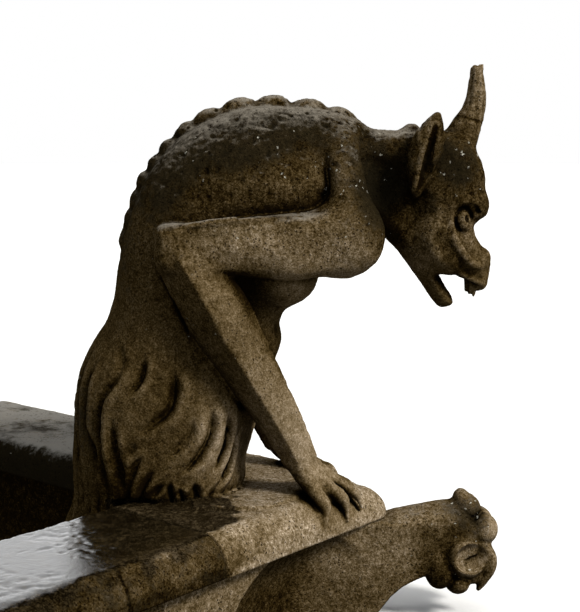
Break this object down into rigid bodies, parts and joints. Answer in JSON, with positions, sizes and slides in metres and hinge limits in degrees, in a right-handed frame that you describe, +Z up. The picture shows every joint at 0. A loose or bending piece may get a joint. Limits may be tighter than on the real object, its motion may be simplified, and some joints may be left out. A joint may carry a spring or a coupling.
{
  "type": "gargoyle",
  "caption": "Weathered stone gargoyle crouching on a parapet corner, gripping the rolled coping above a leaf-carved bracket.",
  "frame": {"origin": "on the flat underside of the corner stone, below the corner of the coping's flat top", "axes": "+Z up; +X the way the creature faces, along the corner's outward diagonal; +Y the creature's left"},
  "size_m": [1.7241, 2.0733, 1.4822],
  "materials": {
    "carved_stone": "weathered limestone, beige-brown with darker grain, lichen specks and a grey bloom on top faces",
    "coping_stone": "rough weathered limestone with ochre patches",
    "wet_coping_stone": "dark damp limestone",
    "bracket_stone": "smoother beige-brown limestone, lichened on top",
    "wall_stone": "plain dressed limestone, stained under the coping"
  },
  "bodies": {
    "root": {"gargoyle": "carved_stone", "coping_right": "coping_stone", "coping_left": "wet_coping_stone", "crocket_corbel": "bracket_stone", "parapet_right": "wall_stone", "parapet_left": "wall_stone"}
  },
  "joints": []
}
